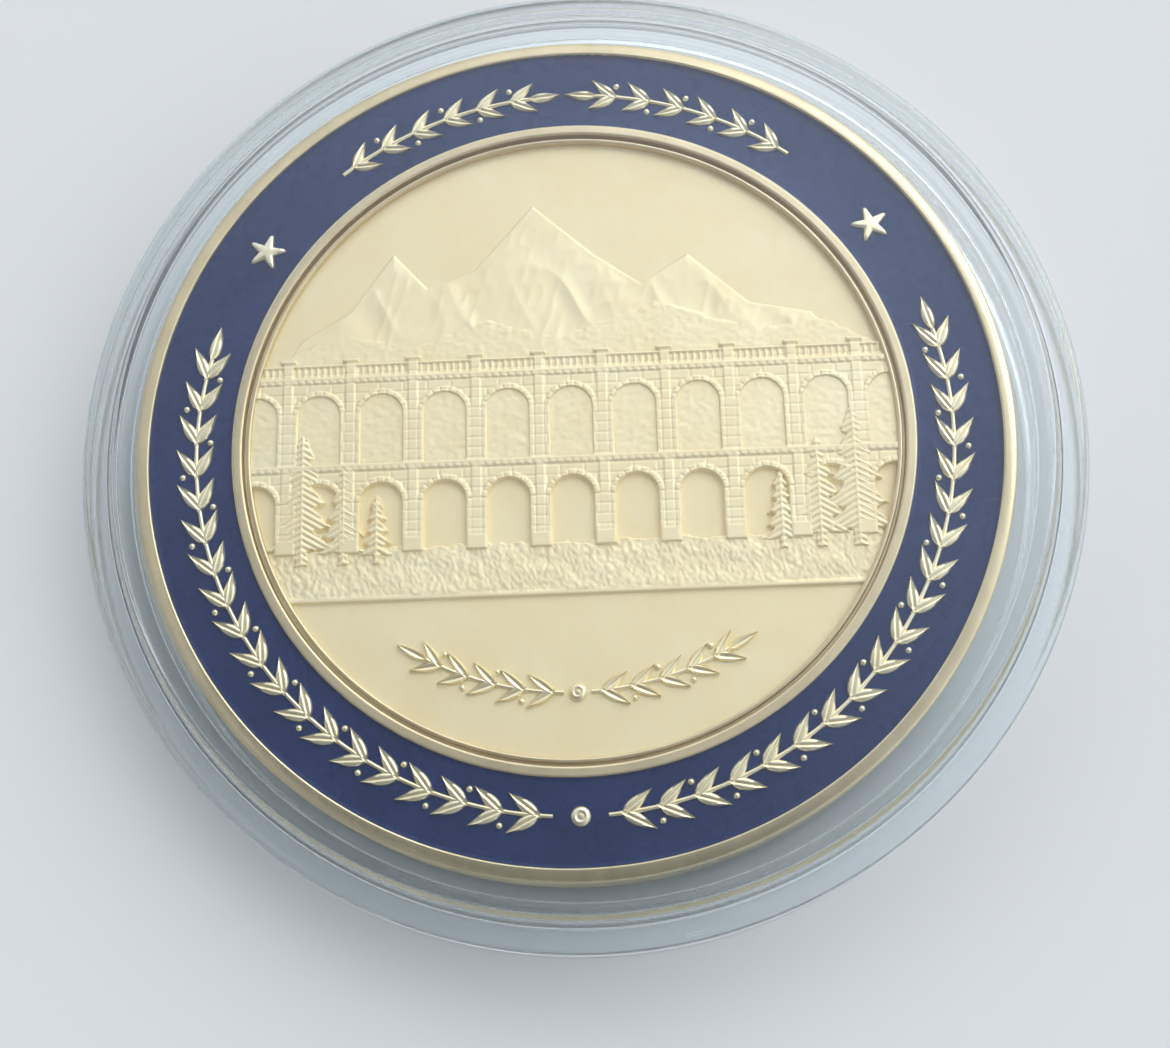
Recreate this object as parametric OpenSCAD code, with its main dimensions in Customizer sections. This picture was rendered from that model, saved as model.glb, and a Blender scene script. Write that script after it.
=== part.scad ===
// Enamelled, gold-plated coin lying in a clear two-part capsule.
// Millimetres, +Z up. The origin is the centre of the capsule's underside.

/* [Capsule] */
// Diameter of the capsule over its rim
capsule_d = 45.4; // [45.2:0.1:48]
// Height of the closed capsule
capsule_h = 5.4; // [5.2:0.1:7]
// Diameter of the raised flat face on the lid
face_d = 42.2; // [41:0.1:42.4]
// Height of the raised faces above the rim's shoulders
step_h = 0.7; // [0.3:0.1:0.8]
// Width of the slope between the lid's face and its shoulder
slope_w = 0.35; // [0.2:0.05:0.6]
// Diameter of the raised flat face under the base
foot_d = 41.2; // [40:0.1:41.6]
// Width of the slope between that face and the base's shoulder
foot_slope_w = 1; // [0.6:0.05:1.2]
// Bevel on the rim
bevel = 0.3; // [0.1:0.05:0.4]
// Thickness of the floor and of the lid's plate
plate_t = 1; // [0.9:0.1:1.1]
// Outer diameter of the seat wall that the lid's skirt slides over
seat_d = 43.1; // [42.4:0.1:43.2]
// Radial play between the seat wall and the skirt
skirt_play = 0.05; // [0.02:0.01:0.1]
// How far the lid's land over the seat wall hangs below the plate
land_drop = 0.35; // [0.2:0.05:0.4]
// Air between the top of the seat wall and the land
seat_air = 0.15; // [0.1:0.05:0.3]

/* [Coin] */
// Diameter of the coin
coin_d = 40; // [38:0.5:40]
// Thickness of the coin at its rim
coin_t = 3; // [2.6:0.1:3.2]
// Play round the coin in its seat
coin_play = 0.5; // [0.5:0.05:0.6]
// How far the loose coin lies from the capsule's axis
coin_shift = 0.45; // [0:0.05:0.45]
// Direction in which it has slid
coin_shift_angle = 141; // [0:1:359]
// Bevel on the coin's edge
coin_bevel = 0.15; // [0.05:0.05:0.3]

/* [Coin faces] */
// Width of the raised rim
rim_w = 0.64; // [0.4:0.02:1]
// Inner radius of the enamelled band
band_r = 15.56; // [15.2:0.02:16]
// Width of the raised ring inside the band
ring_w = 0.5; // [0.3:0.05:0.6]
// Width of the thin line inside that ring
line_w = 0.22; // [0.15:0.01:0.3]
// Gap between the ring and the line
line_gap = 0.14; // [0.1:0.02:0.3]
// Depth of the band's recess below the rim
recess_depth = 0.5; // [0.3:0.05:0.8]
// Depth of the enamel's surface below the rim
enamel_depth = 0.2; // [0.1:0.05:0.3]
// Depth of the plain field below the rim
field_depth = 0.45; // [0.3:0.05:0.7]
// Depth of the thin line's top below the rim
line_depth = 0.12; // [0.05:0.01:0.2]

/* [Band ornament] */
// Radius of the circle that stars and laurel stems lie on
ornament_r = 17.2; // [17:0.1:17.8]
// Radius of a star's points
star_r = 0.92; // [0.5:0.02:1.1]
// Angle of the two front stars from the top of the coin
star_angle = 55.6; // [50:0.1:60]
// Stars on the reverse
back_stars = 12; // [6:1:16]
// Length of a leaf in the lower garland
leaf_l = 1.75; // [1:0.05:1.8]
// Angle of a leaf to its stem
leaf_splay = 33; // [20:1:45]

/* [Front picture] */
// Height of the exergue line, where the picture ends
ground_y = -7.4; // [-9:0.1:-6]
// Distance between the viaduct's arches
arch_pitch = 2.9; // [2.4:0.1:3.4]
// Width of an arch
arch_w = 1.9; // [1.2:0.1:2]

/* [Hidden] */
$fn = 96;
over = 0.2;                                   // how far a raised form reaches into the metal under it

capsule_r = capsule_d / 2;
face_r = face_d / 2;
foot_r = foot_d / 2;
seam_z = capsule_h / 2;
seat_r = seat_d / 2;
seat_in = coin_d / 2 + coin_play;
ceiling_z = capsule_h - plate_t;
land_z = ceiling_z - land_drop;
seat_z = land_z - seat_air;
seat_bevel = 0.2;

coin_r = coin_d / 2;
rim_in = coin_r - rim_w;
ring_in = band_r - ring_w;
line_out = ring_in - line_gap;
field_r = line_out - line_w;
recess_z = coin_t - recess_depth;
enamel_z = coin_t - enamel_depth;
field_z = coin_t - field_depth;
line_z = coin_t - line_depth;
ornament_z = coin_t - 0.03;                   // the ornament stays just under the rim
stem_w = 0.2;

// Laurel branches: [leaf pairs, leaf length, angle of the foot, angle of the tip]
lower_branch = [19, leaf_l, 274, 375];
upper_branch = [6, leaf_l * 0.9, 128, 95];
sprig_branch = [5, leaf_l * 0.85, 272.5, 299];
wreath_branch = [13, 2.4, 276, 430];
wreath_r = 9.6;
leaf_ratio = 0.36;                            // a leaf's width over its length
leaf_tuck = 0.18;                             // how far the feet of a pair of leaves cross
berry_d = 0.34;
berry_out = 0.36;                             // a berry's distance from the stem over a leaf's length

// The sprigs under the picture lie on a wide circle that touches sprig_y
sprig_r = 14;
sprig_y = ground_y - 4.4;

// Heights of the picture's layers above the field
far_hill_h = 0.08;
near_hill_h = 0.14;
wall_h = 0.2;
frame_h = 0.27;
bank_h = 0.16;
tree_h = 0.3;
sprig_h = 0.18;

// The viaduct, from its foot up
foot_y = ground_y + 2.2;
tier_h = 3.9;
course_h = 0.35;
parapet_h = 0.9;
pier_w = arch_pitch - arch_w;
arch_n = 5;                                   // arches each side of the middle one
deck_y = foot_y + 2 * tier_h + 2 * course_h;
hill_foot = foot_y + tier_h + 0.1;            // the hills end behind the course between the tiers

// ---------- outlines ----------

// A pointed leaf along +X, its foot tucked a little behind the origin
module leaf(l, w, n = 6)
    translate([-leaf_tuck, 0]) polygon(concat(
        [for (i = [0:n]) [l * i / n, w / 2 * sin(180 * pow(i / n, 0.8))]],
        [for (i = [n - 1:-1:1]) [l * i / n, -w / 2 * sin(180 * pow(i / n, 0.8))]]
    ));

// A five-pointed star with one point along +X
module star(r)
    polygon([for (i = [0:9]) let (q = i % 2 == 0 ? r : 0.46 * r) [q * cos(36 * i), q * sin(36 * i)]]);

// One side of a conifer's outline, from its foot to its tip
function pine_side(h, tiers) = concat(
    [[0.05 * h, 0], [0.05 * h, 0.12 * h]],
    [for (i = [0:tiers - 1], inner = [0, 1])
        let (low = 0.12 + 0.88 * i / tiers, up = low + 0.88 / tiers, w = 0.25 * (1 - 0.8 * i / tiers))
        [(inner == 0 ? w : 0.4 * w) * h, (inner == 0 ? low : low + 0.8 * (up - low)) * h]],
    [[0, h]]
);

// A conifer with its foot at the origin
module pine(h, tiers = 5) {
    side = pine_side(h, tiers);
    polygon(concat(side, [for (i = [len(side) - 2:-1:0]) [-side[i][0], side[i][1]]]));
}

// An arched opening with its foot at the origin
module arch(w, h) {
    translate([-w / 2, 0]) square([w, h - w / 2]);
    translate([0, h - w / 2]) circle(d = w);
}

// ---------- raised forms ----------

// Raises an outline by h above the metal's surface at z
module raised(z, h)
    translate([0, 0, z - over]) linear_extrude(h + over) children();

// The same, kept inside the round field of the front
module in_field(h)
    intersection() {
        raised(field_z, h) children();
        translate([0, 0, field_z - over]) cylinder(r = field_r + line_w / 2, h = h + over);
    }

// A laurel branch along a circle of radius r, from its foot to its tip, between heights z and top
module branch(r, b, z, top) {
    way = b[3] > b[2] ? 1 : -1;
    step = (b[3] - b[2]) / b[0];
    for (i = [0:b[0]])
        rotate(b[2] + step * (i + (i < b[0] ? 0.4 : 0))) translate([r, 0]) rotate(way * 90)
            for (s = i < b[0] ? [-1, 1] : [0])
                rotate(s * leaf_splay) raised(z, top - z) leaf(b[1], b[1] * leaf_ratio);
    for (i = [0:b[0] - 2])
        rotate(b[2] + step * (i + 1.38)) translate([r + (i % 2 == 0 ? 1 : -1) * berry_out * b[1], 0])
            raised(z, top - z - 0.04) circle(d = berry_d);
    translate([0, 0, z - over]) rotate([0, 0, min(b[2], b[3])])
        rotate_extrude(angle = abs(b[3] - b[2])) translate([r - stem_w / 2, 0])
            square([stem_w, top - z + over - 0.08]);
}

// A branch and its twin on the other side of the Y axis
module twin_branches(r, b, z, top) {
    branch(r, b, z, top);
    branch(r, [b[0], b[1], 180 - b[2], 180 - b[3]], z, top);
}

module front_ornament() {
    twin_branches(ornament_r, lower_branch, recess_z, ornament_z);
    twin_branches(ornament_r, upper_branch, recess_z, ornament_z);
    for (s = [-1, 1])
        rotate(90 + s * star_angle) translate([ornament_r, 0]) raised(recess_z, ornament_z - recess_z)
            star(star_r);
    rotate(270) translate([ornament_r, 0]) raised(recess_z, ornament_z - recess_z) circle(d = 0.9);
}

module back_ornament()
    for (i = [0:back_stars - 1])
        rotate(360 * (i + 0.5) / back_stars) translate([ornament_r, 0])
            raised(recess_z, ornament_z - recess_z) star(star_r);

// ---------- the picture on the front ----------

module hills() {
    in_field(far_hill_h) polygon([
        [-15, 1], [-12.5, 5.2], [-10.2, 6.6], [-8.2, 9.4], [-6.6, 7.6], [-4.4, 8.4], [-1.6, 11.6],
        [1.2, 9.0], [3.4, 7.4], [5.6, 8.8], [8.4, 6.2], [11.2, 5.6], [15, 1]
    ]);
    in_field(near_hill_h) polygon([
        [-15, hill_foot], [-15, 3.6], [-10.8, 5.4], [-7.2, 4.6], [-3.8, 5.8], [-0.6, 4.8],
        [4.2, 6.4], [8.6, 4.8], [11.8, 5.2], [15, 3.4], [15, hill_foot]
    ]);
}

module viaduct() {
    in_field(wall_h) difference() {
        translate([-coin_r, foot_y]) square([2 * coin_r, 2 * tier_h + 2 * course_h]);
        for (i = [-arch_n:arch_n], tier = [0, 1])
            translate([i * arch_pitch, foot_y + tier * (tier_h + course_h)]) arch(arch_w, tier_h - 0.6);
    }
    for (tier = [1, 2])
        in_field(frame_h) translate([-coin_r, foot_y + tier * tier_h + (tier - 1) * course_h])
            square([2 * coin_r, course_h]);
    for (i = [-arch_n:arch_n + 1])
        in_field(frame_h - 0.02) translate([(i - 0.5) * arch_pitch - 0.25 * pier_w, foot_y])
            square([0.5 * pier_w, deck_y - foot_y + parapet_h]);
    in_field(wall_h) translate([-coin_r, deck_y - over]) square([2 * coin_r, over + 0.6 * parapet_h]);
}

module bank()
    in_field(bank_h) translate([-coin_r, ground_y]) square([2 * coin_r, foot_y - ground_y + 0.1]);

module trees()
    for (t = [[-12.3, 6.2], [-10.4, 4.6], [-8.9, 3.2], [9.3, 3.6], [11.0, 5.2], [12.7, 6.6]])
        in_field(tree_h) translate([t[0], foot_y - 0.5]) pine(t[1]);

module sprig() translate([0, sprig_y + sprig_r, 0]) {
    twin_branches(sprig_r, sprig_branch, field_z, field_z + sprig_h);
    translate([0, -sprig_r, 0]) raised(field_z, sprig_h) circle(d = 0.8);
}

// ---------- sub-parts ----------

// Half of the coin's section, from the axis out, at height z above the middle plane
function face_section() = [
    [0, field_z], [field_r, field_z], [field_r, line_z], [line_out, line_z], [line_out, field_z],
    [ring_in, field_z], [ring_in, coin_t], [band_r, coin_t], [band_r, recess_z], [rim_in, recess_z],
    [rim_in, coin_t], [coin_r - coin_bevel, coin_t], [coin_r, coin_t - coin_bevel]
];

module place_coin()
    translate([coin_shift * cos(coin_shift_angle), coin_shift * sin(coin_shift_angle), plate_t]) children();

// Turns a front form over onto the reverse
module on_back() translate([0, 0, coin_t]) rotate([0, 180, 0]) children();

module coin_body() color("khaki") place_coin() {
    rotate_extrude() polygon(concat(
        face_section(),
        [for (i = [len(face_section()) - 1:-1:0]) [face_section()[i][0], coin_t - face_section()[i][1]]]
    ));
    front_ornament();
    hills();
    viaduct();
    bank();
    trees();
    sprig();
    on_back() {
        back_ornament();
        twin_branches(wreath_r, wreath_branch, field_z, field_z + 0.3);
    }
}

// The ring of enamel that fills a band up to the enamel's level
module enamel_ring() translate([0, 0, recess_z]) difference() {
    cylinder(r = rim_in, h = enamel_z - recess_z);
    translate([0, 0, -1]) cylinder(r = band_r, h = 2);
}

module enamel_front() color("darkslateblue") place_coin() difference() {
    enamel_ring();
    front_ornament();
}

module enamel_back() color("darkslateblue") place_coin() on_back() difference() {
    enamel_ring();
    back_ornament();
}

module capsule_base() color("lightsteelblue", 0.4) rotate_extrude() polygon([
    [0, 0], [foot_r, 0], [foot_r + foot_slope_w, step_h],
    [capsule_r - bevel, step_h], [capsule_r, step_h + bevel], [capsule_r, seam_z],
    [seat_r, seam_z], [seat_r, seat_z - seat_bevel], [seat_r - seat_bevel, seat_z],
    [seat_in, seat_z], [seat_in, plate_t], [0, plate_t]
]);

module capsule_lid() color("lightsteelblue", 0.4) rotate_extrude() polygon([
    [0, ceiling_z], [face_r, ceiling_z], [face_r, land_z],
    [seat_r + skirt_play, land_z], [seat_r + skirt_play, seam_z], [capsule_r, seam_z],
    [capsule_r, capsule_h - step_h - bevel], [capsule_r - bevel, capsule_h - step_h],
    [face_r + slope_w, capsule_h - step_h], [face_r, capsule_h], [0, capsule_h]
]);

capsule_base();
capsule_lid();
coin_body();
enamel_front();
enamel_back();
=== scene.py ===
"""The looks of an enamelled, gold-plated coin in its clear capsule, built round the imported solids."""
import math

import bmesh
import bpy
import numpy as np
from mathutils import Matrix, Vector


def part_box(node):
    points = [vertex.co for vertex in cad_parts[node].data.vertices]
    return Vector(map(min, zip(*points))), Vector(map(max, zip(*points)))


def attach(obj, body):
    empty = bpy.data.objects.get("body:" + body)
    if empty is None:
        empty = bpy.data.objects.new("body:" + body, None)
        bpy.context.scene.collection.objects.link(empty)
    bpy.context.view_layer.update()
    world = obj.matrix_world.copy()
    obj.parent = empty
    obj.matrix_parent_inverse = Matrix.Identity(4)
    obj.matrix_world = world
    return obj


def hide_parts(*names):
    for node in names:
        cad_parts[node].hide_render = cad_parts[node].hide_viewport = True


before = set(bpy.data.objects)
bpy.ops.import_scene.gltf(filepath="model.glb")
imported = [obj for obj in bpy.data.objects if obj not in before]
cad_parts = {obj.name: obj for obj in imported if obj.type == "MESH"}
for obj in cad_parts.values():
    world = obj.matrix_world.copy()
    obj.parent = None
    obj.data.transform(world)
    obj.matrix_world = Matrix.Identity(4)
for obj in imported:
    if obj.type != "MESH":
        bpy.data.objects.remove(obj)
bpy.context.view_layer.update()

MM = 0.001

# ---------- sizes in millimetres, as the solids have them ----------

STEP_H = 0.7
FACE_R = 21.1
SLOPE_W = 0.35
FOOT_R = 20.6
FOOT_SLOPE_W = 1.0
PLATE_T = 1.0
SEAT_IN = 20.5
SEAT_R = 21.55
SKIRT_PLAY = 0.05
LAND_DROP = 0.35
SEAT_AIR = 0.15
RIM_BEVEL = 0.3
# The table wears the base dull up to this height
WORN_H = 1.5
# Clear faces that touch draw back by this much, because light is lost between two faces in one place
HAIRLINE = 0.02

COIN_T = 3.0
COIN_R = 20.0
RIM_W = 0.64
BAND_R = 15.56
RING_W = 0.5
LINE_GAP = 0.14
LINE_W = 0.22
RECESS_Z = COIN_T - 0.5
ENAMEL_Z = COIN_T - 0.2
FIELD_Z = COIN_T - 0.45
LINE_Z = COIN_T - 0.12
ORNAMENT_Z = COIN_T - 0.03
RIM_IN = COIN_R - RIM_W
RING_IN = BAND_R - RING_W
LINE_OUT = RING_IN - LINE_GAP
FIELD_R = LINE_OUT - LINE_W
# The enamel goes this far under the metal, climbs this high on it, and is level again this far from it
ENAMEL_TUCK = 0.05
ENAMEL_CLIMB = 0.05
ENAMEL_REACH = 0.21

ORNAMENT_R = 17.2
STAR_R = 0.92
# The notches between a star's arms, as a share of its radius
STAR_IN = 0.46
# How far round from the top a star of the front stands
STAR_ANGLE = 55.6
# From a star's side to its crest: [how far the outline is drawn in, depth below the top]
STAR_SLOPE = [(0.01, 0.16), (0.05, 0.08), (0.11, 0.03), (0.2, 0.005), (0.3, 0)]
BACK_STARS = 12
BOSS_D = 0.9
TIE_D = 0.8
# Across a boss: [share of its radius, depth below its top]
BOSS_SLOPE = [(1, 0.14), (0.86, 0.04), (0.6, 0), (0.45, 0.07), (0.3, 0.07), (0.22, 0.01), (0.08, 0)]
LEAF_RATIO = 0.36
LEAF_SPLAY = 33
LEAF_TUCK = 0.18
LEAF_H = 0.3
# Along a branch, in steps of a leaf pair: where the first pair and the first berry stand
LEAF_START = 0.4
BERRY_START = 1.38
BERRY_D = 0.34
BERRY_H = 0.22
# How far a berry stands out from its stem, as a share of a leaf's length
BERRY_OUT = 0.36
STEM_W = 0.2
STEM_CROWN = 0.1
# How far berries and stems stay below the leaves' tops
BERRY_LOW = 0.03
STEM_LOW = 0.06
# [leaf pairs, leaf length, angle of the foot, angle of the tip]
LOWER_BRANCH = (19, 1.75, 274, 375)
UPPER_BRANCH = (6, 1.575, 128, 95)
SPRIG_BRANCH = (5, 1.4875, 272.5, 299)
WREATH_BRANCH = (13, 2.4, 276, 430)
WREATH_R = 9.6

GROUND_Y = -7.4
ARCH_PITCH = 2.9
ARCH_W = 1.9
FOOT_Y = GROUND_Y + 2.2
TIER_H = 3.9
ARCH_H = TIER_H - 0.6
COURSE_H = 0.35
PARAPET_H = 0.9
STONE_W = 1.1
STONE_H = 0.48
JOINT_W = 0.04
PIER_W = ARCH_PITCH - ARCH_W
ARCH_N = 5
DECK_Y = FOOT_Y + 2 * TIER_H + 2 * COURSE_H
SPRIG_R = 14.0
SPRIG_Y = GROUND_Y - 4.4

# Heights above the field: the picture's layers, the sprigs and the wreath
FAR_HILL_H = 0.08
NEAR_HILL_H = 0.14
WALL_H = 0.2
FRAME_H = 0.27
BANK_H = 0.16
TREE_H = 0.3
SPRIG_H = 0.18
WREATH_H = 0.3
# How far the leaves on a field go down into it
ROOTED = 0.2

FAR_HILLS = [
    (-15, 1), (-12.5, 5.2), (-10.2, 6.6), (-8.2, 9.4), (-6.6, 7.6), (-4.4, 8.4), (-1.6, 11.6),
    (1.2, 9.0), (3.4, 7.4), (5.6, 8.8), (8.4, 6.2), (11.2, 5.6), (15, 1),
]
NEAR_HILLS = [
    (-15, FOOT_Y + TIER_H), (-15, 3.6), (-10.8, 5.4), (-7.2, 4.6), (-3.8, 5.8), (-0.6, 4.8),
    (4.2, 6.4), (8.6, 4.8), (11.8, 5.2), (15, 3.4), (15, FOOT_Y + TIER_H),
]
# [x of the foot, height]
TREES = [(-12.3, 6.2), (-10.4, 4.6), (-8.9, 3.2), (9.3, 3.6), (11.0, 5.2), (12.7, 6.6)]

# ---------- where things are, from the frame ----------

base_low, base_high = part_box("capsule_base")
lid_low, lid_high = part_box("capsule_lid")
coin_low, coin_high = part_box("coin_body")
CAPSULE_R = (lid_high.x - lid_low.x) / 2 / MM
CAPSULE_H = lid_high.z / MM
SEAM_Z = lid_low.z / MM
CEILING_Z = CAPSULE_H - PLATE_T
LAND_Z = CEILING_Z - LAND_DROP
SEAT_Z = LAND_Z - SEAT_AIR
COIN_AT = Vector(((coin_low.x + coin_high.x) / 2, (coin_low.y + coin_high.y) / 2, coin_low.z))

# ---------- mesh helpers ----------


def add_mesh(name, verts, faces, at=(0, 0, 0), smooth_angle=40):
    """A mesh object from vertices in millimetres, moved to a place in metres."""
    mesh = bpy.data.meshes.new(name)
    places = np.asarray(verts, float) * MM + np.asarray(at, float)
    mesh.from_pydata(places.tolist(), [], faces)
    mesh.validate()
    made = bmesh.new()
    made.from_mesh(mesh)
    bmesh.ops.recalc_face_normals(made, faces=made.faces)
    made.to_mesh(mesh)
    made.free()
    mesh.shade_smooth()
    mesh.set_sharp_from_angle(angle=math.radians(smooth_angle))
    piece = bpy.data.objects.new(name, mesh)
    bpy.context.scene.collection.objects.link(piece)
    return piece


def place(piece, body, slot, material, *nodes):
    """Gives a piece its body and its finish, and hides the solids that it stands for."""
    piece.data.materials.append(material)
    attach(piece, body)
    if nodes:
        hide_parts(*nodes)
    return piece


def rounded(corners, steps=4):
    """A closed section from (r, z, radius) corners, each rounded, with a loop close to each end of a round.
    A round takes at most the longest share of the two edges beside it."""
    longest, spare = 0.45, 0.15
    points = []
    count = len(corners)
    for i, (r, z, radius) in enumerate(corners):
        here = Vector((r, z))
        if radius == 0:
            points.append((r, z))
            continue
        before = Vector(corners[i - 1][:2])
        after = Vector(corners[(i + 1) % count][:2])
        back, on = before - here, after - here
        reach = min(radius, back.length * longest, on.length * longest)
        start = here + back.normalized() * reach
        end = here + on.normalized() * reach
        hold = spare * reach
        points.append(tuple(start + back.normalized() * hold))
        for k in range(steps + 1):
            t = k / steps
            points.append(tuple((1 - t) ** 2 * start + 2 * t * (1 - t) * here + t * t * end))
        points.append(tuple(end + on.normalized() * hold))
    return points


def lathe(name, section, at=(0, 0, 0), turns=256):
    """Turns a closed (r, z) section about the Z axis through a place."""
    verts, rings, faces = [], [], []
    angles = [2 * math.pi * k / turns for k in range(turns)]
    for r, z in section:
        first = len(verts)
        if r < 1e-6:
            verts.append((0, 0, z))
            rings.append([first] * turns)
        else:
            verts.extend((r * math.cos(a), r * math.sin(a), z) for a in angles)
            rings.append([first + k for k in range(turns)])
    for a, b in zip(rings, rings[1:] + rings[:1]):
        for k in range(turns):
            n = (k + 1) % turns
            loop = list(dict.fromkeys([a[k], a[n], b[n], b[k]]))
            if len(loop) > 2:
                faces.append(loop)
    return add_mesh(name, verts, faces, at)


class Shapes:
    """Gathers the vertices and faces of many small closed shapes into one piece."""

    def __init__(self):
        self.verts, self.faces = [], []

    def add(self, verts, faces, turn=0.0, move=(0.0, 0.0)):
        """Adds a shape after turning it by degrees about Z and moving it in the plane."""
        first = len(self.verts)
        c, s = math.cos(math.radians(turn)), math.sin(math.radians(turn))
        self.verts.extend((c * x - s * y + move[0], s * x + c * y + move[1], z) for x, y, z in verts)
        self.faces.extend([first + i for i in f] for f in faces)

    def turned_over(self, height):
        """The same shapes on the underside of a disc of this height."""
        other = Shapes()
        other.verts = [(-x, y, height - z) for x, y, z in self.verts]
        other.faces = [list(reversed(f)) for f in self.faces]
        return other


def loft(rings):
    """Faces between closed rings of equal length, with both ends capped."""
    verts = [p for ring in rings for p in ring]
    n = len(rings[0])
    faces = [list(range(n)), list(range(len(verts) - n, len(verts)))]
    for k in range(len(rings) - 1):
        for i in range(n):
            j = (i + 1) % n
            faces.append([k * n + i, k * n + j, (k + 1) * n + j, (k + 1) * n + i])
    return verts, faces


def circle(radius, z, around):
    """A level ring of points about the Z axis."""
    angles = [2 * math.pi * k / around for k in range(around)]
    return [(radius * math.cos(a), radius * math.sin(a), z) for a in angles]


# ---------- raised forms of the garlands ----------

# Across a leaf: [share of its half width, depth below its crest as a share of its height], from foot to foot
LEAF_SECTION = [(-1, 1), (-0.86, 0.34), (-0.5, 0.05), (-0.14, 0.1), (0, 0.26),
                (0.14, 0.1), (0.5, 0.05), (0.86, 0.34), (1, 1)]


def leaf(length, foot, top, stations=12):
    """A pointed leaf along +X with a sunk midrib, from the level of its foot to its top."""
    belly, thinnest, bow = 0.8, 0.012, 0.25
    rings = []
    for i in range(stations + 1):
        t = i / stations
        half = max(length * LEAF_RATIO / 2 * math.sin(math.pi * t ** belly), thinnest)
        crest = top - bow * (top - ENAMEL_Z) * (2 * t - 1) ** 2
        rings.append([(length * t - LEAF_TUCK, side * half, foot if depth == 1 else crest - depth * LEAF_H)
                      for side, depth in LEAF_SECTION])
    return loft(rings)


def berry(foot, top, around=16, levels=5):
    """A round bead that stands on its foot."""
    rings = [circle(BERRY_D / 2, foot, around)]
    for j in range(levels):
        a = math.pi / 2 * j / levels
        rings.append(circle(BERRY_D / 2 * math.cos(a), top - BERRY_H * (1 - math.sin(a)), around))
    return loft(rings)


def knot(size, foot, top, around=24):
    """A round boss where two branches meet."""
    rings = [circle(size / 2, foot, around)]
    rings += [circle(size / 2 * share, top - depth, around) for share, depth in BOSS_SLOPE]
    return loft(rings)


def stem(radius, start, end, foot, top):
    """A half-round stem along a circle, between two angles in degrees."""
    steps = max(int(abs(end - start) * radius / 20), 8)
    low = top - STEM_CROWN
    arch = [(-math.cos(math.pi * k / 6), low + STEM_CROWN * math.sin(math.pi * k / 6)) for k in range(7)]
    section = [(-1, foot), *arch, (1, foot)]
    rings = []
    for i in range(steps + 1):
        a = math.radians(start + (end - start) * i / steps)
        reaches = [(radius + side * STEM_W / 2, z) for side, z in section]
        rings.append([(r * math.cos(a), r * math.sin(a), z) for r, z in reaches])
    return loft(rings)


def star(foot, top):
    """A five-armed star with blunt tips, one along +X, and a faint crest along each arm."""
    tip, notch = 0.1, STAR_IN * STAR_R
    outline = []
    for i in range(5):
        arm = math.radians(72 * i)
        for k in range(-3, 4):
            t = math.radians(26 * k)
            out, side = STAR_R - tip + tip * math.cos(t), tip * math.sin(t)
            outline.append((out * math.cos(arm) - side * math.sin(arm),
                            out * math.sin(arm) + side * math.cos(arm)))
        between = math.radians(72 * i + 36)
        outline.append((notch * math.cos(between), notch * math.sin(between)))

    def ring(drawn_in, z):
        shares = [1 - drawn_in / math.hypot(x, y) for x, y in outline]
        return [(x * share, y * share, z) for (x, y), share in zip(outline, shares)]

    return loft([ring(0, foot)] + [ring(drawn_in, top - depth) for drawn_in, depth in STAR_SLOPE])


def branch(shapes, radius, spec, foot, top, centre=(0, 0)):
    """A laurel branch along a circle, from its foot to its tip."""
    pairs, length, start, end = spec
    way = 1 if end > start else -1
    step = (end - start) / pairs

    def put(shape, angle, out=0.0, turn=0.0):
        x, y = on_circle(angle, radius + out)
        shapes.add(*shape, turn=angle + turn, move=(centre[0] + x, centre[1] + y))

    for i in range(pairs):
        for side in (-1, 1):
            put(leaf(length, foot, top), start + step * (i + LEAF_START), 0, way * 90 + side * LEAF_SPLAY)
    put(leaf(length, foot, top), end, 0, way * 90)
    for i in range(pairs - 1):
        side = 1 if i % 2 == 0 else -1
        put(berry(foot, top - BERRY_LOW), start + step * (i + BERRY_START), side * BERRY_OUT * length)
    shapes.add(*stem(radius, start, end, foot, top - STEM_LOW), move=centre)


def twin_branches(shapes, radius, spec, foot, top, centre=(0, 0)):
    """A branch and its twin on the other side of the Y axis."""
    pairs, length, start, end = spec
    branch(shapes, radius, spec, foot, top, centre)
    branch(shapes, radius, (pairs, length, 180 - start, 180 - end), foot, top, centre)


def on_circle(angle, radius=ORNAMENT_R):
    """The place at an angle in degrees on a circle about the coin's axis."""
    return radius * math.cos(math.radians(angle)), radius * math.sin(math.radians(angle))


# ---------- the struck picture: height maps over the field, in its own x and y ----------

# How far a form's edge goes below the surface that it rises from
SUNK = 0.05


def smooth(d, width=0.12):
    """1 inside a form, where its distance d is negative, falling to 0 outside over a width."""
    t = np.clip(0.5 - d / width, 0, 1)
    return t * t * (3 - 2 * t)


def rise(d, height, width=0.1):
    """Height of a form with a rounded edge, which ends below the surface round about."""
    return smooth(d, width) * (height + SUNK) - SUNK


def box_distance(x, y, x0, x1, y0, y1):
    """Signed distance to a box, negative inside."""
    dx = np.abs(x - (x0 + x1) / 2) - (x1 - x0) / 2
    dy = np.abs(y - (y0 + y1) / 2) - (y1 - y0) / 2
    return np.hypot(np.maximum(dx, 0), np.maximum(dy, 0)) + np.minimum(np.maximum(dx, dy), 0)


def arch_distance(x, y, cx, foot, width, height):
    """Signed distance to a round-headed opening, negative inside."""
    spring = foot + height - width / 2
    box = box_distance(x, y, cx - width / 2, cx + width / 2, foot, spring)
    return np.minimum(box, np.hypot(x - cx, y - spring) - width / 2)


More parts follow.
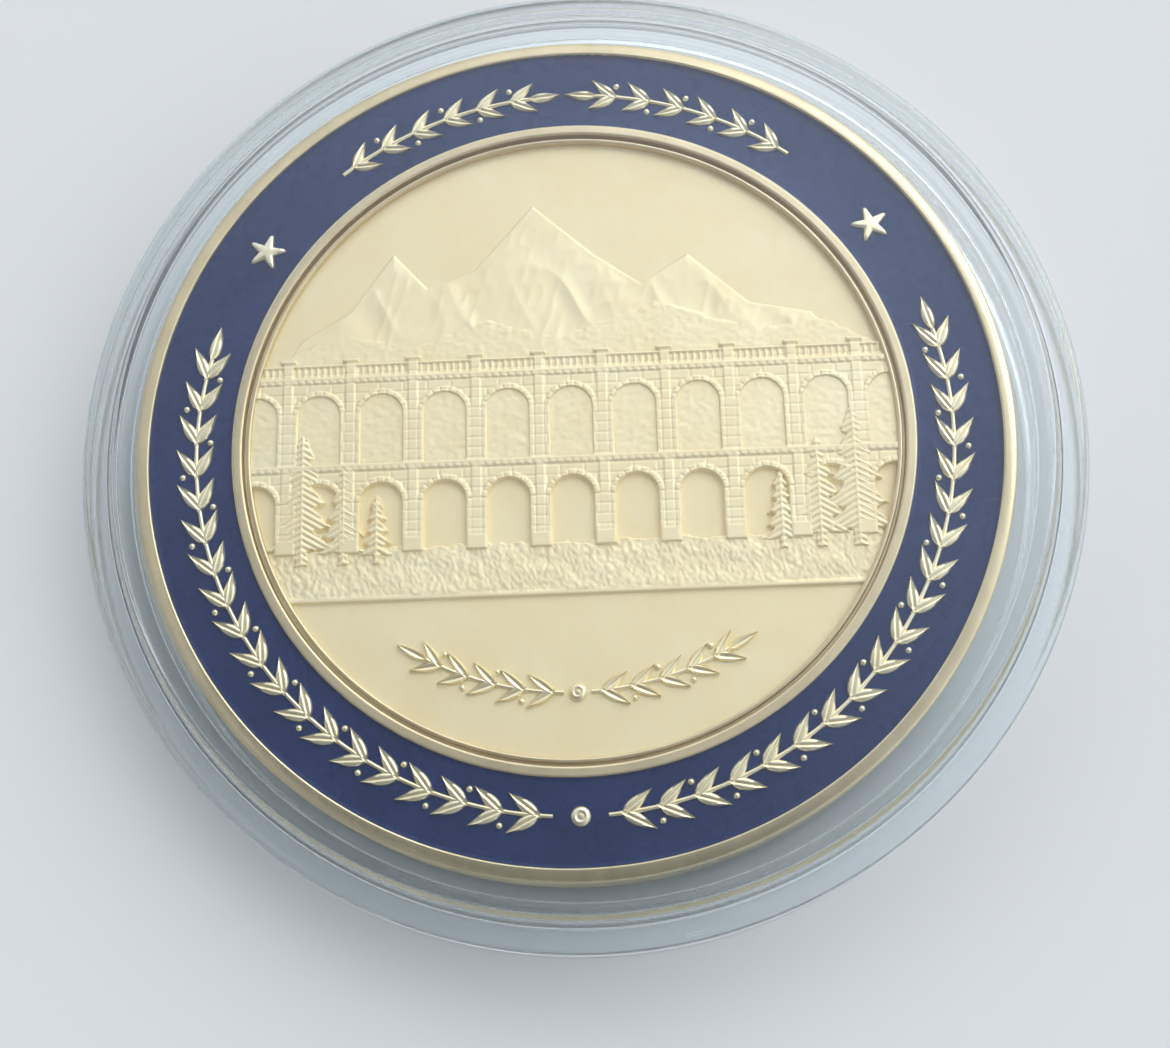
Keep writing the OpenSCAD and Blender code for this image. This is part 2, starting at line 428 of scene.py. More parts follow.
def polygon_distance(x, y, points):
    """Signed distance to a closed outline, negative inside."""
    best = np.full(x.shape, np.inf)
    inside = np.zeros(x.shape, bool)
    for (ax, ay), (bx, by) in zip(points, points[1:] + points[:1]):
        ex, ey = bx - ax, by - ay
        t = np.clip(((x - ax) * ex + (y - ay) * ey) / (ex * ex + ey * ey), 0, 1)
        best = np.minimum(best, np.hypot(x - ax - t * ex, y - ay - t * ey))
        if by != ay:
            inside ^= ((ay > y) != (by > y)) & (x < (bx - ax) * (y - ay) / (by - ay) + ax)
    return np.where(inside, -best, best)


def noise(x, y, scale, seed):
    """Smooth random values from 0 to 1 over cells of this size."""
    cells = 128
    table = np.random.default_rng(seed).random((cells, cells))
    u, v = x / scale, y / scale
    i, j = np.floor(u).astype(int), np.floor(v).astype(int)
    fu, fv = u - i, v - j
    fu = fu * fu * (3 - 2 * fu)
    fv = fv * fv * (3 - 2 * fv)
    i0, j0, i1, j1 = i % cells, j % cells, (i + 1) % cells, (j + 1) % cells
    low = table[i0, j0] * (1 - fu) + table[i1, j0] * fu
    high = table[i0, j1] * (1 - fu) + table[i1, j1] * fu
    return low * (1 - fv) + high * fv


def groove(t, pitch, width):
    """1 on lines a pitch apart, falling to 0 beside them."""
    off = np.abs((t / pitch + 0.5) % 1 - 0.5) * pitch
    return np.exp(-(off / width) ** 2)


def pine_outline(cx, foot, height, tiers=5):
    """A conifer's outline, as in the solids."""
    trunk_w, trunk_h, crown_w = 0.05, 0.12, 0.25
    tier_h = (1 - trunk_h) / tiers
    side = [(trunk_w, 0), (trunk_w, trunk_h)]
    for i in range(tiers):
        low = trunk_h + tier_h * i
        width = crown_w * (1 - 0.8 * i / tiers)
        side += [(width, low), (0.4 * width, low + 0.8 * tier_h)]
    side.append((0, 1))
    outline = side + [(-x, y) for x, y in side[-2::-1]]
    return [(cx + x * height, foot + y * height) for x, y in outline]


def masonry(x, y):
    """Joints of a stone wall laid in courses."""
    row = np.floor(y / STONE_H)
    upright = groove(x + row * STONE_W / 2, STONE_W, JOINT_W)
    return np.maximum(groove(y, STONE_H, JOINT_W), upright)


def hills(x, y):
    """Ridged mountains behind a wooded slope."""
    crag_h, canopy_h, ragged = 0.085, 0.03, 0.16
    far = polygon_distance(x, y, FAR_HILLS)
    ridge = 1 - np.abs(2 * noise(x + 0.45 * y, 0.4 * y, 1.3, 3) - 1)
    ridge += 0.5 * (1 - np.abs(2 * noise(x - 0.3 * y, 0.6 * y, 0.6, 4) - 1))
    far_top = FAR_HILL_H + crag_h * (ridge - 0.6) * np.clip(-far / 0.5, 0, 1)
    near = polygon_distance(x, y, NEAR_HILLS) + ragged * (noise(x, y, 0.32, 5) - 0.5)
    canopy = noise(x, 1.3 * y, 0.26, 6) + 0.5 * noise(x, y, 0.14, 7)
    return np.maximum(rise(far, far_top), rise(near, NEAR_HILL_H + canopy_h * (canopy - 0.7)))


def arches():
    """Centre and foot of each arch."""
    return [(i * ARCH_PITCH, FOOT_Y + tier * (TIER_H + COURSE_H))
            for tier in (0, 1) for i in range(-ARCH_N, ARCH_N + 1)]


def arcades(x, y):
    """The wall in coursed stone, with its openings and a ring of wedge stones round each."""
    joint_depth, ring_w, ring_step, wedge_angle = 0.03, 0.26, 0.055, 20
    top = DECK_Y + 0.6 * PARAPET_H
    wall = np.abs(y - (FOOT_Y + top) / 2) - (top - FOOT_Y) / 2
    openings = np.full(x.shape, np.inf)
    rings = np.zeros(x.shape)
    for cx, foot in arches():
        d = arch_distance(x, y, cx, foot, ARCH_W, ARCH_H)
        openings = np.minimum(openings, d)
        angle = np.degrees(np.arctan2(y - (foot + ARCH_H - ARCH_W / 2), x - cx))
        stones = 1 - 0.8 * groove(angle, wedge_angle, 2.2) * (angle > 0)
        rings = np.maximum(rings, smooth(d - ring_w, 0.08) * smooth(-d, 0.06) * stones)
    solid = np.maximum(wall, -openings)
    joints = masonry(x, y - FOOT_Y) * smooth(solid + 0.1)
    return rise(solid, WALL_H - joint_depth * joints + ring_step * rings)


def cornices(x, y):
    """A course above each tier, with a row of small blocks along its lower edge."""
    block_pitch, block_w, block_step = 0.36, 0.07, 0.05
    z = np.full(x.shape, -SUNK)
    for tier in (1, 2):
        low = FOOT_Y + tier * TIER_H + (tier - 1) * COURSE_H
        d = np.abs(y - low - COURSE_H / 2) - COURSE_H / 2
        row = smooth(np.abs(y - low - 0.1) - 0.08, 0.06)
        z = np.maximum(z, rise(d, FRAME_H - block_step * groove(x, block_pitch, block_w) * row))
    return z


def piers(x, y):
    """A flat pier between each two arches, with a plinth and a cap."""
    top = DECK_Y + PARAPET_H
    joints = 0.025 * groove(y - FOOT_Y, STONE_H, JOINT_W)
    # [half width, foot, top, height above the field]
    parts = [
        (PIER_W / 4, FOOT_Y, top, FRAME_H - 0.02 - joints),
        (PIER_W / 2.6, top - 0.22, top, FRAME_H + 0.02),
        (PIER_W / 2.3, FOOT_Y, FOOT_Y + 0.7, FRAME_H),
    ]
    z = np.full(x.shape, -SUNK)
    for i in range(-ARCH_N, ARCH_N + 2):
        cx = (i - 0.5) * ARCH_PITCH
        for half, low, high, height in parts:
            z = np.maximum(z, rise(box_distance(x, y, cx - half, cx + half, low, high), height))
    return z


def viaduct(x, y):
    """Two tiers of arches with cornices, piers, and a pierced parapet under a rail."""
    baluster_pitch, baluster_w, pierced_h, pierced_depth = 0.3, 0.14, 0.4, 0.06
    z = np.maximum(np.maximum(arcades(x, y), cornices(x, y)), piers(x, y))
    rail = np.abs(y - DECK_Y - 0.62 * PARAPET_H) - 0.07
    z = np.maximum(z, rise(rail, WALL_H + 0.045, 0.08))
    across = np.abs((x / baluster_pitch + 0.5) % 1 - 0.5) * baluster_pitch
    upright = np.abs(y - DECK_Y - 0.3 * PARAPET_H) - pierced_h / 2
    pierced = np.maximum(upright, baluster_w / 2 - across)
    return z - pierced_depth * smooth(pierced, 0.06) * (z < FRAME_H - 0.05)


def bank(x, y):
    """Rough grass with a ragged top edge, over a smooth lip."""
    tuft_h, swell_h, lip_w, lip_h = 0.045, 0.07, 0.22, 0.02
    ragged = FOOT_Y + 0.12 + 0.24 * noise(x, y, 0.3, 11)
    d = np.maximum(GROUND_Y - y, y - ragged)
    tufts = noise(x + 0.3 * y, 0.6 * y, 0.11, 8) + noise(x - 0.4 * y, 0.6 * y, 0.17, 9)
    swell = noise(x, 2.2 * y, 1.4, 10)
    lip = smooth(y - GROUND_Y - lip_w, 0.1)
    grass = tuft_h * (tufts - 1) + swell_h * (swell - 0.5)
    return rise(d, BANK_H - lip_h + (1 - lip) * grass + lip_h * lip, 0.08)


def pines(x, y):
    """Conifers with drooping boughs, in front of everything else."""
    bough_pitch, bough_depth, ragged, edge_drop = 0.3, 0.07, 0.12, 0.03
    z = np.full(x.shape, -SUNK)
    for cx, height in TREES:
        near = (np.abs(x - cx) < 0.3 * height) & (y > FOOT_Y - 1) & (y < FOOT_Y + height)
        px, py = x[near], y[near]
        side = np.abs(px - cx)
        d = polygon_distance(px, py, pine_outline(cx, FOOT_Y - 0.5, height))
        d += ragged * (noise(px, py, 0.13, 12) - 0.5)
        boughs = groove(py + 0.6 * side, bough_pitch, 0.07) * smooth(0.05 - side, 0.08)
        top = TREE_H - 0.02 - bough_depth * boughs - edge_drop * np.clip(1 + d / 0.4, 0, 1)
        z[near] = np.maximum(z[near], rise(d, top, 0.09))
    return z


def relief(name, height, cell, left, right, low, high):
    """A closed plate on the field whose top follows a height map, over the cells where it shows."""
    x, y = np.meshgrid(np.arange(left, right, cell), np.arange(low, high, cell), indexing="ij")
    below_line, under_line = 0.02, 0.04
    z = np.minimum(height(x, y), LINE_Z - FIELD_Z - below_line)
    shows = (z > -SUNK) & (np.hypot(x, y) < FIELD_R + under_line)
    kept = shows[:-1, :-1] | shows[1:, :-1] | shows[1:, 1:] | shows[:-1, 1:]
    used = np.zeros(x.shape, bool)
    for cut in (np.s_[:-1, :-1], np.s_[1:, :-1], np.s_[1:, 1:], np.s_[:-1, 1:]):
        used[cut] |= kept
    number = np.full(x.shape, -1)
    number[used] = np.arange(used.sum())
    corners = (number[:-1, :-1], number[1:, :-1], number[1:, 1:], number[:-1, 1:])
    faces = np.stack([c[kept] for c in corners], -1)
    verts = np.column_stack([x[used], y[used], FIELD_Z + z[used]])
    piece = add_mesh(name, verts, faces.tolist(), COIN_AT, 180)
    close_below(piece, (FIELD_Z - 2 * SUNK) * MM + COIN_AT.z)
    return piece


def close_below(piece, level):
    """Turns an open sheet, with any holes, into a closed plate with a flat underside."""
    made = bmesh.new()
    made.from_mesh(piece.data)
    edges = [e for e in made.edges if e.is_boundary]
    wall = bmesh.ops.extrude_edge_only(made, edges=edges)["geom"]
    for v in wall:
        if isinstance(v, bmesh.types.BMVert):
            v.co.z = level
    rim = [e for e in wall if isinstance(e, bmesh.types.BMEdge) and e.is_boundary]
    bmesh.ops.triangle_fill(made, use_beauty=False, use_dissolve=False, edges=rim)
    for e in edges + rim:
        e.smooth = False
    bmesh.ops.recalc_face_normals(made, faces=made.faces)
    made.to_mesh(piece.data)
    made.free()


# ---------- materials ----------


class NodeTree:
    """A node tree under construction."""

    def __init__(self, tree):
        self.tree = tree

    def add(self, kind, **settings):
        node = self.tree.nodes.new(kind)
        for key, value in settings.items():
            setattr(node, key, value)
        return node

    def link(self, source, socket):
        self.tree.links.new(source, socket)

    def fill(self, socket, value):
        """Links a socket to another one, or gives it a fixed value."""
        if isinstance(value, bpy.types.NodeSocket):
            self.link(value, socket)
        else:
            socket.default_value = value

    def math(self, operation, first, second):
        """One step of arithmetic on sockets or numbers."""
        node = self.add("ShaderNodeMath", operation=operation)
        self.fill(node.inputs[0], first)
        self.fill(node.inputs[1], second)
        return node.outputs[0]

    def vector(self, operation, first, second=(0, 0, 0)):
        """One step of vector arithmetic on sockets or plain vectors."""
        node = self.add("ShaderNodeVectorMath", operation=operation)
        self.fill(node.inputs[0], first)
        self.fill(node.inputs[1], second)
        return node.outputs["Value" if operation in ("LENGTH", "DOT_PRODUCT") else "Vector"]

    def height(self, source):
        """The third part of a vector."""
        node = self.add("ShaderNodeSeparateXYZ")
        self.link(source, node.inputs[0])
        return node.outputs[2]

    def span(self, value, low, high, to_low, to_high):
        """Maps a value from one range to another, held at its ends."""
        node = self.add("ShaderNodeMapRange")
        for socket, number in zip(list(node.inputs)[1:5], (low, high, to_low, to_high)):
            socket.default_value = number
        self.link(value, node.inputs[0])
        return node.outputs[0]


class Nodes(NodeTree):
    """A material under construction."""

    def __init__(self, name):
        self.material = bpy.data.materials.new(name)
        self.material.use_nodes = True
        super().__init__(self.material.node_tree)
        self.shader = self.tree.nodes["Principled BSDF"]
        self.out = self.tree.nodes["Material Output"]
        self.coords = self.add("ShaderNodeTexCoord").outputs["Object"]

    def set(self, **values):
        """Sets the shader's own sockets: base_color sets Base Color."""
        for key, value in values.items():
            name = key.replace("_", " ").title().replace("Ior", "IOR")
            self.shader.inputs[name].default_value = value

    def texture(self, place, scale, detail, roughness):
        """A noise texture at a place, from 0 to 1."""
        node = self.add("ShaderNodeTexNoise")
        for name, value in (("Scale", scale), ("Detail", detail), ("Roughness", roughness)):
            node.inputs[name].default_value = value
        self.link(place, node.inputs["Vector"])
        return node.outputs["Fac"]

    def noise(self, per_mm, detail, stretch=(1, 1, 1)):
        """Noise with this many swells a millimetre."""
        place = self.vector("MULTIPLY", self.coords, [share / MM for share in stretch])
        return self.texture(place, per_mm, detail, 0.55)

    def radius(self):
        """Distance from the piece's own Z axis, in millimetres."""
        return self.vector("LENGTH", self.vector("MULTIPLY", self.coords, (1 / MM, 1 / MM, 0)))

    def turned_noise(self, per_mm, per_turn, detail):
        """Noise drawn out round the Z axis: quick outwards and upwards, and slow round about."""
        around = self.vector("NORMALIZE", self.vector("MULTIPLY", self.coords, (1, 1, 0)))
        outwards = self.math("ADD", self.radius(), self.math("MULTIPLY", self.height(self.coords), 1 / MM))
        across = self.add("ShaderNodeCombineXYZ")
        self.link(self.math("MULTIPLY", outwards, per_mm), across.inputs["Z"])
        turned = self.vector("MULTIPLY", around, (per_turn, per_turn, 0))
        return self.texture(self.vector("ADD", turned, across.outputs[0]), 1, detail, 0.5)

    def mix(self, factor, first, second):
        """Blends two colours."""
        node = self.add("ShaderNodeMix", data_type="RGBA")
        self.link(factor, node.inputs["Factor"])
        for socket, colour in ((node.inputs[6], first), (node.inputs[7], second)):
            socket.default_value = (*colour, 1)
        return node.outputs[2]

    def bump(self, height, depth):
        """Raises the surface by a height map, up to this many millimetres."""
        node = self.add("ShaderNodeBump")
        node.inputs["Distance"].default_value = depth * MM
        self.link(height, node.inputs["Height"])
        self.link(node.outputs["Normal"], self.shader.inputs["Normal"])


GOLD = (0.96, 0.83, 0.555)
GOLD_PALE = (0.975, 0.87, 0.62)
RIM_GOLD = (0.79, 0.655, 0.42)
RIM_GOLD_DEEP = (0.68, 0.555, 0.35)
BLUE = (0.019, 0.032, 0.112)
BLUE_DEEP = (0.013, 0.023, 0.086)
# After more mirrorings than this inside the clear plastic, light goes straight on
MIRRORINGS = 2.5


def gold(name, colours, roughness, grain, depth):
    """Plating: its colour clouds slowly between two tones, over a satin grain of this many bumps a mm."""
    m = Nodes(name)
    m.link(m.mix(m.span(m.noise(0.4, 4), 0.3, 0.7, 0, 1), *colours), m.shader.inputs["Base Color"])
    rub = m.noise(2.5, 5, stretch=(1, 0.5, 1))
    m.link(m.span(rub, 0.3, 0.72, *roughness), m.shader.inputs["Roughness"])
    m.bump(m.noise(grain, 2), depth)
    m.set(metallic=1.0)
    return m


def polished_gold():
    """The rims and the coin's edge, polished. The rings inside the bands are only buffed, and the outer
    corner is handled dull."""
    m = gold("gold_polished", (RIM_GOLD_DEEP, RIM_GOLD), (0.14, 0.21), 5, 0.0012)
    buffed = m.span(m.radius(), BAND_R + 0.1, BAND_R + 0.4, 0.2, 0)
    handled = m.span(m.radius(), COIN_R - 0.45, COIN_R - 0.15, 0, 0.34)
    rubbed = m.shader.inputs["Roughness"].links[0].from_socket
    m.link(m.math("ADD", rubbed, m.math("ADD", buffed, handled)), m.shader.inputs["Roughness"])
    return m.material


def satin_gold():
    """The plain fields."""
    return gold("gold_satin", (GOLD, GOLD_PALE), (0.68, 0.76), 16, 0.002).material


def frosted_gold():
    """The struck picture."""
    return gold("gold_frosted", (GOLD, GOLD_PALE), (0.62, 0.72), 22, 0.004).material


def bright_gold():
    """Leaves, berries and stars, a little softer than the rims."""
    return gold("gold_bright", (GOLD, GOLD_PALE), (0.28, 0.38), 9, 0.002).material


def enamel():
    """Hard-baked blue enamel with slow swells in its surface and a little depth of colour."""
    m = Nodes("blue_enamel")
    cloud = m.span(m.noise(0.3, 4), 0.3, 0.7, 0, 1)
    m.link(m.mix(cloud, BLUE_DEEP, BLUE), m.shader.inputs["Base Color"])
    m.link(m.span(m.noise(0.8, 2), 0.3, 0.7, 0.24, 0.32), m.shader.inputs["Roughness"])
    m.bump(m.noise(0.25, 1), 0.004)
    m.set(specular_ior_level=0.5, specular_tint=(0.45, 0.6, 1, 1))
    return m.material


def acrylic(name, clear, wear):
    """Moulded plastic with fine scuffs, hazier round the rim. Lamps shine through it onto the coin."""
    m = Nodes(name)
    scuffs = m.span(m.turned_noise(2.0, 2.2, 4), 0.45, 0.75, 0.015, 0.09)
    haze = m.span(m.radius(), SEAT_IN - 0.2, FACE_R, wear, wear + 0.08)
    m.link(m.math("ADD", scuffs, haze), m.shader.inputs["Roughness"])
    m.bump(m.turned_noise(0.4, 0.8, 1), 0.005)
    m.set(base_color=(0.93, 0.96, 0.97, 1), transmission_weight=clear, ior=1.49)
    open_way = m.add("ShaderNodeBsdfTransparent")
    open_way.inputs["Color"].default_value = (0.95, 0.97, 0.98, 1)
    path = m.add("ShaderNodeLightPath").outputs
    trapped = m.math("GREATER_THAN", path["Glossy Depth"], MIRRORINGS)
    blend = m.add("ShaderNodeMixShader")
    m.link(m.math("MAXIMUM", path["Is Shadow Ray"], trapped), blend.inputs[0])
    m.link(m.shader.outputs[0], blend.inputs[1])
    m.link(open_way.outputs[0], blend.inputs[2])
    m.link(blend.outputs[0], m.out.inputs["Surface"])
    return m.material


# ---------- the pieces ----------


def capsule_base(material, worn):
    """The lower moulding: floor, foot, rim and seat wall. The table has worn its foot and lower rim dull."""
    section = rounded([
        (0, 0, 0), (FOOT_R, 0, 0.12), (FOOT_R + FOOT_SLOPE_W, STEP_H, 0.15),
        (CAPSULE_R, STEP_H, RIM_BEVEL), (CAPSULE_R, WORN_H, 0), (CAPSULE_R, SEAM_Z - HAIRLINE, 0.06),
        (SEAT_R, SEAM_Z - HAIRLINE, 0.05), (SEAT_R, SEAT_Z, 0.2), (SEAT_IN, SEAT_Z, 0.1),
        (SEAT_IN, PLATE_T - HAIRLINE, 0.08), (0, PLATE_T - HAIRLINE, 0),
    ])
    piece = place(lathe("base_moulding", section), "base", "clear_acrylic", material, "capsule_base")
    piece.data.materials.append(worn)
    for face in piece.data.polygons:
        reach = max(math.hypot(*piece.data.vertices[i].co[:2]) for i in face.vertices)
        outside = reach > (FOOT_R + 0.05) * MM
        face.material_index = int(outside and face.center[2] < WORN_H * MM)
    return piece


def capsule_lid(material):
    """The upper moulding: plate, land over the seat wall, skirt and rim."""
    section = rounded([
        (0, CEILING_Z, 0), (FACE_R, CEILING_Z, 0.1), (FACE_R, LAND_Z, 0.08),
        (SEAT_R + SKIRT_PLAY, LAND_Z, 0.08), (SEAT_R + SKIRT_PLAY, SEAM_Z, 0.05),
        (CAPSULE_R, SEAM_Z, 0.06), (CAPSULE_R, CAPSULE_H - STEP_H, RIM_BEVEL),
        (FACE_R + SLOPE_W, CAPSULE_H - STEP_H, 0.15), (FACE_R, CAPSULE_H, 0.12), (0, CAPSULE_H, 0),
    ])
    return place(lathe("lid_moulding", section), "lid", "clear_acrylic", material, "capsule_lid")


def coin_blank(material):
    """The disc with its rims, rings and recesses on both sides."""
    under_field = 0.1
    face = [
        (0, FIELD_Z - under_field, 0), (FIELD_R, FIELD_Z - under_field, 0.03), (FIELD_R, LINE_Z, 0.1),
        (LINE_OUT, LINE_Z, 0.1), (LINE_OUT, FIELD_Z, 0.03), (RING_IN, FIELD_Z, 0.04),
        (RING_IN, COIN_T, 0.12), (BAND_R, COIN_T, 0.1), (BAND_R, RECESS_Z, 0.04),
        (RIM_IN, RECESS_Z, 0.04), (RIM_IN, COIN_T, 0.1), (COIN_R - 0.3, COIN_T, 0.25),
        (COIN_R, COIN_T - 0.06, 0.2),
    ]
    other = [(r, COIN_T - z, radius) for r, z, radius in reversed(face)]
    return place(lathe("coin_blank", rounded(face + other), COIN_AT), "coin", "gold_plate", material,
                 "coin_body")


def field_disc(name, material, on_back=False):
    """The plain field inside the thin line."""
    edge, low = FIELD_R + 0.08, FIELD_Z - 0.3
    section = [(0, low), (edge, low), (edge, FIELD_Z), (0, FIELD_Z)]
    if on_back:
        section = [(r, COIN_T - z) for r, z in reversed(section)]
    return place(lathe(name, section, COIN_AT), "coin", "gold_plate", material)


def enamel_fill(name, node, material, on_back=False):
    """The ring of enamel in one side's band, drawn up a little where it meets the metal."""
    low, high = RECESS_Z - ENAMEL_TUCK, ENAMEL_Z + ENAMEL_CLIMB
    curve = [(d, ENAMEL_Z + ENAMEL_CLIMB * (1 - d / ENAMEL_REACH) ** 2) for d in (0.03, 0.09, ENAMEL_REACH)]
    section = [(BAND_R - ENAMEL_TUCK, low), (BAND_R - ENAMEL_TUCK, high)]
    section += [(BAND_R + d, z) for d, z in curve]
    section += [(RIM_IN - d, z) for d, z in reversed(curve)]
    section += [(RIM_IN + ENAMEL_TUCK, high), (RIM_IN + ENAMEL_TUCK, low)]
    if on_back:
        section = [(r, COIN_T - z) for r, z in reversed(section)]
    return place(lathe(name, section, COIN_AT), "coin", "blue_enamel", material, node)


def front_garland(material):
    """Laurel branches, berries and two stars that stand through the front's enamel."""
    shapes = Shapes()
    twin_branches(shapes, ORNAMENT_R, LOWER_BRANCH, RECESS_Z, ORNAMENT_Z)
    twin_branches(shapes, ORNAMENT_R, UPPER_BRANCH, RECESS_Z, ORNAMENT_Z)
    for side in (-1, 1):
        angle = 90 + side * STAR_ANGLE
        shapes.add(*star(RECESS_Z, ORNAMENT_Z), turn=angle, move=on_circle(angle))
    shapes.add(*knot(BOSS_D, RECESS_Z, ORNAMENT_Z), move=on_circle(270))
    piece = add_mesh("front_garland", shapes.verts, shapes.faces, COIN_AT, 50)
    return place(piece, "coin", "gold_plate", material)


def exergue_sprigs(material):
    """Two sprigs tied under the picture."""
    shapes = Shapes()
    centre = (0, SPRIG_Y + SPRIG_R)
    low, high = FIELD_Z - ROOTED, FIELD_Z + SPRIG_H
    twin_branches(shapes, SPRIG_R, SPRIG_BRANCH, low, high, centre)
    shapes.add(*knot(TIE_D, low, high), move=(0, SPRIG_Y))
    piece = add_mesh("exergue_sprigs", shapes.verts, shapes.faces, COIN_AT, 50)
    return place(piece, "coin", "gold_plate", material)


def back_ornament(material):
    """The reverse: stars through the enamel and a laurel wreath round a bare field."""
    shapes = Shapes()
    for i in range(BACK_STARS):
        angle = 360 * (i + 0.5) / BACK_STARS
        shapes.add(*star(RECESS_Z, ORNAMENT_Z), turn=angle, move=on_circle(angle))
    twin_branches(shapes, WREATH_R, WREATH_BRANCH, FIELD_Z - ROOTED, FIELD_Z + WREATH_H)
    shapes = shapes.turned_over(COIN_T)
    piece = add_mesh("back_ornament", shapes.verts, shapes.faces, COIN_AT, 50)
    return place(piece, "coin", "gold_plate", material)


def picture(material):
    """The hills, the viaduct, the bank before it and the pines, each over the one before."""
    coarse = 1
    # [name, height map, cell, left, right, low, high]
    for name, height, cell, left, right, low, high in (
            ("front_hills", hills, 0.06, -15, 15, FOOT_Y - 0.2, 12),
            ("front_viaduct", viaduct, 0.045, -15, 15, FOOT_Y - 0.2, DECK_Y + 1.2),
            ("front_bank", bank, 0.045, -14, 14, GROUND_Y - 0.2, FOOT_Y + 0.6),
            ("front_pines", pines, 0.045, -15, 15, FOOT_Y - 0.8, FOOT_Y + 7)):
        place(relief(name, height, cell * coarse, left, right, low, high), "coin", "gold_plate", material)


# ---------- floor, light and camera, in metres ----------

FLOOR_REACH = 3.0
FLOOR_COLOUR = (0.80, 0.80, 0.79, 1)

LAMP_AT = (0.65, 0.82, 0.72)
LAMP_SIZE = 1.2
LAMP_POWER = 6.3

# The room's light: where it is dim overhead, and where a window brightens it
DIM_TOWARDS = Vector((-0.4, -0.5, 1)).normalized()
BRIGHT_TOWARDS = Vector((0.6, 0.7, 0.4)).normalized()
# Cosines of the angles from the dim direction at the edge of the dim part and at its core
DIM_EDGE = (0.44, 0.82)
# Levels outside the dim part and in it, away from the window and towards it, at the horizon and above it
DIM_LEVELS = (1.12, 0.28)
WINDOW_LEVELS = (0.6, 1.36)
LOW_LEVELS = (0.55, 1)
ROOM_COLOUR = (0.93, 0.98, 1.05, 1)
# The backdrop's own level, and the heights between which it gives way to the room
BACKDROP = 0.65
BACKDROP_EDGE = (0.05, 0.2)

# Angles in degrees, from the vertical, round about and on the page; the lens in millimetres
CAMERA_TILT = 16.24
CAMERA_AZIMUTH = -81.2
PAGE_UP = 88.5
CAMERA_LENS = 52.3
CAMERA_DISTANCE = 0.0758
# Where it looks, in millimetres from the coin's centre and above its face, as raised by the lid's refraction
CAMERA_AIM = (0.52, -4.30)
RAISED_LOOK = 0.33


def floor():
    """A pale table top."""
    mesh = bpy.data.meshes.new("floor")
    sides = ((-1, -1), (1, -1), (1, 1), (-1, 1))
    corners = [(FLOOR_REACH * x, FLOOR_REACH * y, -HAIRLINE * MM) for x, y in sides]
    mesh.from_pydata(corners, [], [(0, 1, 2, 3)])
    plane = bpy.data.objects.new("floor", mesh)
    bpy.context.scene.collection.objects.link(plane)
    m = Nodes("floor")
    m.set(base_color=FLOOR_COLOUR, roughness=0.9)
    mesh.materials.append(m.material)


def soft_box():
    """A square lamp beyond the top of the coin."""
    data = bpy.data.lights.new("key", "AREA")
    data.shape = "SQUARE"
    data.size = LAMP_SIZE
    data.energy = LAMP_POWER
    made = bpy.data.objects.new("key", data)
    bpy.context.scene.collection.objects.link(made)
    made.location = LAMP_AT
    made.rotation_mode = "QUATERNION"
    made.rotation_quaternion = Vector(LAMP_AT).to_track_quat("Z", "Y")
    made.visible_camera = False


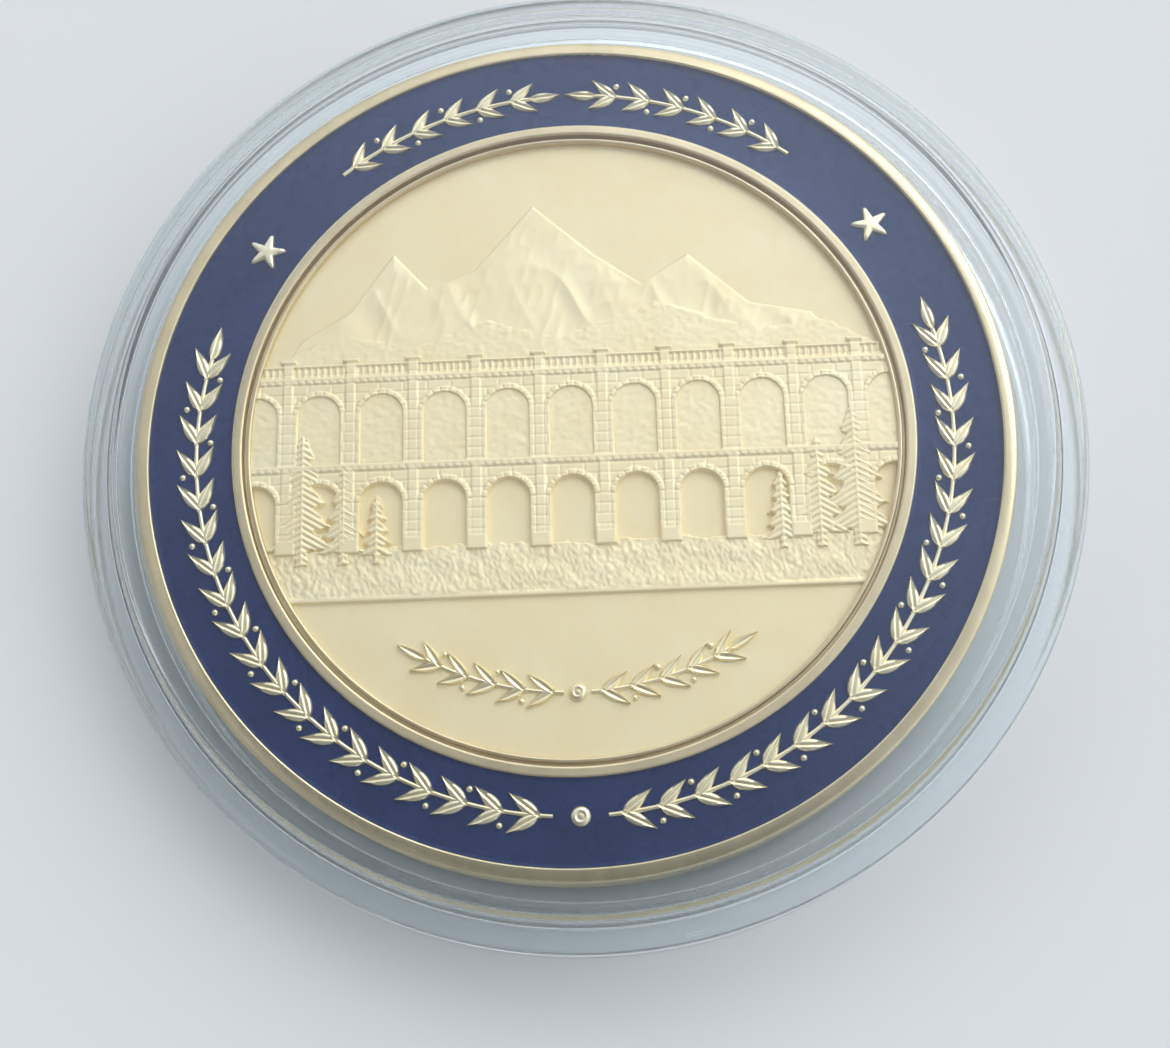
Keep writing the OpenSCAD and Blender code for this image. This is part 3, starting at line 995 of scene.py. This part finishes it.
def room():
    """A pale room: dim overhead, where the lid mirrors it to the camera, and dim again near the horizon.
    Seen directly, mirrored or through the plastic, it ends in one even backdrop in the floor's own tone."""
    world = bpy.data.worlds.new("room")
    bpy.context.scene.world = world
    world.use_nodes = True
    w = NodeTree(world.node_tree)
    background = w.tree.nodes["Background"]
    direction = w.add("ShaderNodeTexCoord").outputs["Generated"]
    height = w.height(direction)
    level = w.span(w.vector("DOT_PRODUCT", direction, DIM_TOWARDS), *DIM_EDGE, *DIM_LEVELS)
    window = w.vector("DOT_PRODUCT", direction, BRIGHT_TOWARDS)
    level = w.math("MULTIPLY", level, w.span(window, -1, 1, *WINDOW_LEVELS))
    level = w.math("MULTIPLY", level, w.span(height, 0, 0.5, *LOW_LEVELS))
    rays = w.add("ShaderNodeLightPath").outputs
    shown = w.math("MAXIMUM", rays["Is Camera Ray"], rays["Is Glossy Ray"])
    shown = w.math("MAXIMUM", shown, rays["Is Transmission Ray"])
    seen = w.add("ShaderNodeMix")
    w.link(w.math("MULTIPLY", shown, w.span(height, *BACKDROP_EDGE, 1, 0)), seen.inputs["Factor"])
    w.link(level, seen.inputs["A"])
    seen.inputs["B"].default_value = BACKDROP
    w.link(seen.outputs["Result"], background.inputs["Strength"])
    background.inputs["Color"].default_value = ROOM_COLOUR


def camera():
    """Looks down on the coin from in front, aimed at its face as it is seen through the lid."""
    data = bpy.data.cameras.new("camera")
    data.lens = CAMERA_LENS
    data.clip_start, data.clip_end = 0.005, 5
    made = bpy.data.objects.new("camera", data)
    bpy.context.scene.collection.objects.link(made)
    tilt, azimuth, page = (math.radians(angle) for angle in (CAMERA_TILT, CAMERA_AZIMUTH, PAGE_UP))
    back = Vector((math.sin(tilt) * math.cos(azimuth), math.sin(tilt) * math.sin(azimuth), math.cos(tilt)))
    aim = COIN_AT + Vector((*CAMERA_AIM, COIN_T + RAISED_LOOK)) * MM
    made.location = aim + back * CAMERA_DISTANCE
    page_up = Vector((math.cos(page), math.sin(page), 0))
    up = (page_up - back * page_up.dot(back)).normalized()
    made.rotation_mode = "QUATERNION"
    made.rotation_quaternion = Matrix((up.cross(back), up, back)).transposed().to_quaternion()
    bpy.context.scene.camera = made


bpy.context.scene.view_settings.view_transform = "Standard"
camera()
floor()
soft_box()
room()

satin, bright, blue = satin_gold(), bright_gold(), enamel()
clear, worn = acrylic("clear_acrylic", 1.0, 0.0), acrylic("worn_acrylic", 0.72, 0.12)
coin_blank(polished_gold())
field_disc("front_field", satin)
field_disc("back_field", satin, on_back=True)
picture(frosted_gold())
front_garland(bright)
exergue_sprigs(bright)
back_ornament(bright)
enamel_fill("enamel_ring_front", "enamel_front", blue)
enamel_fill("enamel_ring_back", "enamel_back", blue, on_back=True)
capsule_base(clear, worn)
capsule_lid(clear)
